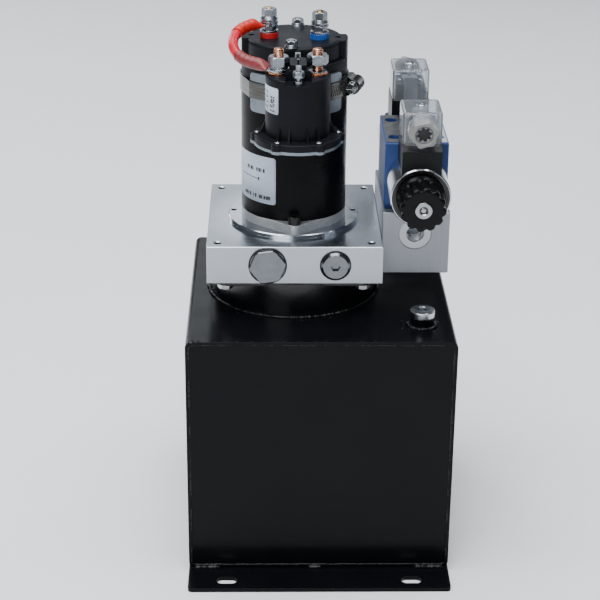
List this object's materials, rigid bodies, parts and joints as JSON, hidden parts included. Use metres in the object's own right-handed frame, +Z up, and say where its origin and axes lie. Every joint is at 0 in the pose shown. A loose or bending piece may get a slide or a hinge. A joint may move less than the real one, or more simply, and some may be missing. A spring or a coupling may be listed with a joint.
{
  "type": "hydraulic power unit",
  "caption": "Compact electro-hydraulic power unit: black box tank, motor-driven gear pump on an aluminium block, relay and side-mounted solenoid directional valve.",
  "frame": {"origin": "centre of the footprint, on the floor under the feet", "axes": "+Z up; -Y is the front, where the relay stands and the front foot sticks out; +X towards the valve"},
  "size_m": [0.1956, 0.261, 0.4079],
  "materials": {
    "tank_paint": "gloss black paint over welded sheet",
    "machined_aluminium": "milled, fine tool marks",
    "turned_aluminium": "turned, bright",
    "cast_aluminium": "die cast, matt",
    "zinc_plated_steel": "bright zinc plate",
    "steel": "ground steel",
    "stainless_steel": "brushed strip",
    "black_oxide_steel": "black oxide",
    "motor_paint": "satin black paint",
    "black_plastic": "moulded, fine grain",
    "knob_plastic": "moulded, glossy",
    "clear_plastic": "clear polycarbonate",
    "grey_plastic": "moulded grey nylon",
    "pale_grey_plastic": "moulded pale grey nylon",
    "terminal_insulation": "red bush on one stud, blue on the other",
    "valve_blue": "blue enamel",
    "nameplate": "printed foil",
    "coil_steel": "bright plated steel shell",
    "stud_metal": "brass and copper studs",
    "iron": "laminated and sintered iron",
    "carbon": "brush plate and carbon",
    "rubber": "oil-proof rubber",
    "spring_steel": "drawn wire",
    "cable_red": "red cable sheath",
    "sleeve_red": "shrunk red sleeve"
  },
  "bodies": {
    "unit": {"tank_shell": "tank_paint", "tank_end_panels": "tank_paint", "tank_neck": "tank_paint", "neck_gasket": "rubber", "tank_feet": "tank_paint", "filler_boss": "tank_paint", "main_manifold": "machined_aluminium", "adapter_flange": "turned_aluminium", "check_plug": "zinc_plated_steel", "relief_plug": "zinc_plated_steel", "poppet_springs": "spring_steel", "pump_body": "cast_aluminium", "pump_cover": "cast_aluminium", "oil_tubes": "steel", "suction_strainer": "zinc_plated_steel", "assembly_screws": "zinc_plated_steel", "drive_cover": "cast_aluminium", "motor_housing": "motor_paint", "motor_end_cap": "black_plastic", "magnets": "iron", "motor_bearings": "steel", "brush_gear": "carbon", "terminal_studs": "stud_metal", "terminal_insulators": "terminal_insulation", "terminal_nuts": "zinc_plated_steel", "motor_screws": "black_oxide_steel", "contactor_housing": "black_plastic", "contactor_bracket": "zinc_plated_steel", "contactor_coil": "stud_metal", "contactor_spring": "spring_steel", "clamp_band": "stainless_steel", "clamp_housing": "stainless_steel", "valve_manifold": "machined_aluminium", "valve_body": "valve_blue", "valve_nameplate": "nameplate", "centring_springs": "spring_steel", "core_tubes": "steel", "solenoid_coils": "coil_steel", "connector_bases": "black_plastic", "connector_housings": "clear_plastic", "terminal_blocks": "grey_plastic", "gland_nuts": "pale_grey_plastic", "cable_lugs": "zinc_plated_steel", "cable_sleeves": "sleeve_red", "jumper_cable": "cable_red"},
    "motor_armature": {"armature": "iron", "shaft_coupling": "steel", "drive_gear": "steel"},
    "pump_driven_gear": {"driven_gear": "steel"},
    "valve_spool": {"spool": "steel", "solenoid_plungers": "steel"},
    "front_override": {"front_override_pin": "steel"},
    "rear_override": {"rear_override_pin": "steel"},
    "front_nut": {"front_coil_nut": "knob_plastic"},
    "rear_nut": {"rear_coil_nut": "knob_plastic"},
    "contactor_moving_core": {"contactor_plunger": "steel"},
    "check_valve": {"check_poppet": "steel"},
    "relief_valve": {"relief_poppet": "steel"},
    "filler_cap": {"filler_plug": "zinc_plated_steel"},
    "clamp_worm": {"clamp_screw": "zinc_plated_steel"}
  },
  "joints": [
    {"name": "motor_spin", "type": "hinge", "parent": "unit", "child": "motor_armature", "pos_m": [-0.0192, 0.0046, 0.3], "axis": [0, 0, 1], "continuous": true},
    {"name": "driven_gear_spin", "type": "hinge", "parent": "unit", "child": "pump_driven_gear", "pos_m": [-0.0192, 0.0286, 0.196], "axis": [0, 0, 1], "continuous": true},
    {"name": "spool_shift", "type": "slide", "parent": "unit", "child": "valve_spool", "axis": [0, 1, 0], "range_m": [-0.003, 0.003], "stiffness_N_per_m": 3000},
    {"name": "front_override_push", "type": "slide", "parent": "unit", "child": "front_override", "axis": [0, 1, 0], "range_m": [0, 0.003], "stiffness_N_per_m": 600, "springref_m": -0.002},
    {"name": "rear_override_push", "type": "slide", "parent": "unit", "child": "rear_override", "axis": [0, -1, 0], "range_m": [0, 0.003], "stiffness_N_per_m": 600, "springref_m": -0.002},
    {"name": "front_coil_nut_turn", "type": "hinge", "parent": "unit", "child": "front_nut", "pos_m": [0.0692, -0.08, 0.2905], "axis": [0, -1, 0], "continuous": true},
    {"name": "rear_coil_nut_turn", "type": "hinge", "parent": "unit", "child": "rear_nut", "pos_m": [0.0692, 0.081, 0.2905], "axis": [0, 1, 0], "continuous": true},
    {"name": "contactor_pull_in", "type": "slide", "parent": "unit", "child": "contactor_moving_core", "axis": [0, 0, 1], "range_m": [0, 0.0025], "stiffness_N_per_m": 700, "springref_m": -0.004},
    {"name": "check_valve_open", "type": "slide", "parent": "unit", "child": "check_valve", "axis": [0, -1, 0], "range_m": [0, 0.003], "stiffness_N_per_m": 300, "springref_m": -0.003},
    {"name": "relief_valve_open", "type": "slide", "parent": "unit", "child": "relief_valve", "axis": [0, -1, 0], "range_m": [0, 0.0025], "stiffness_N_per_m": 2000, "springref_m": -0.003},
    {"name": "filler_plug_turn", "type": "hinge", "parent": "unit", "child": "filler_cap", "pos_m": [0.074, -0.0705, 0.2], "axis": [0, 0, 1], "continuous": true},
    {"name": "clamp_screw_turn", "type": "hinge", "parent": "unit", "child": "clamp_worm", "pos_m": [0.02424, -0.00859, 0.3539], "axis": [-0.2906, -0.9568, 0], "continuous": true}
  ],
  "couplings": [
    {"joint": "driven_gear_spin", "follows": "motor_spin", "ratio": -1}
  ]
}
